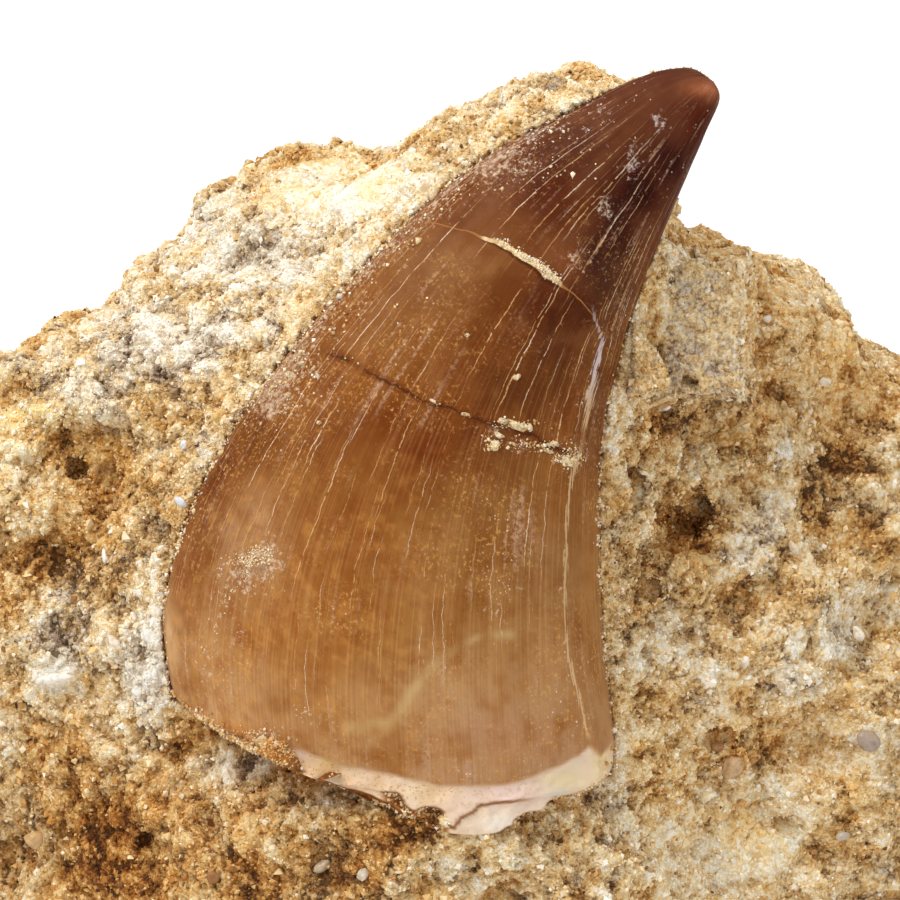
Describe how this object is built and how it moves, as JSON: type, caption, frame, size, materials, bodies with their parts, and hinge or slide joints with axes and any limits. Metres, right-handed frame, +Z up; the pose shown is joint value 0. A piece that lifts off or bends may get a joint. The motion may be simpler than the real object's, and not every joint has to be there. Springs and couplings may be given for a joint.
{
  "type": "fossil mosasaur tooth",
  "caption": "Curved fossil reptile tooth, brown and keeled, half freed from a loose block of sandy phosphate rock that lies on a flat underside.",
  "frame": {"origin": "middle of the bounding box's underside, on the flat rest face of the block", "axes": "+X along the block's length, from the left of the tooth to its right; +Z up; the worked face with the tooth looks towards -Y and up, 40 degrees above level"},
  "size_m": [0.0606, 0.0442, 0.0361],
  "materials": {
    "tooth": "smooth brown enamel, glossy to satin, with fine pale lines along it and a pale pink broken root edge",
    "matrix": "rough, loosely cemented sand in cream, grey and ochre"
  },
  "bodies": {
    "root": {"tooth": "tooth", "matrix_block": "matrix"}
  },
  "joints": []
}
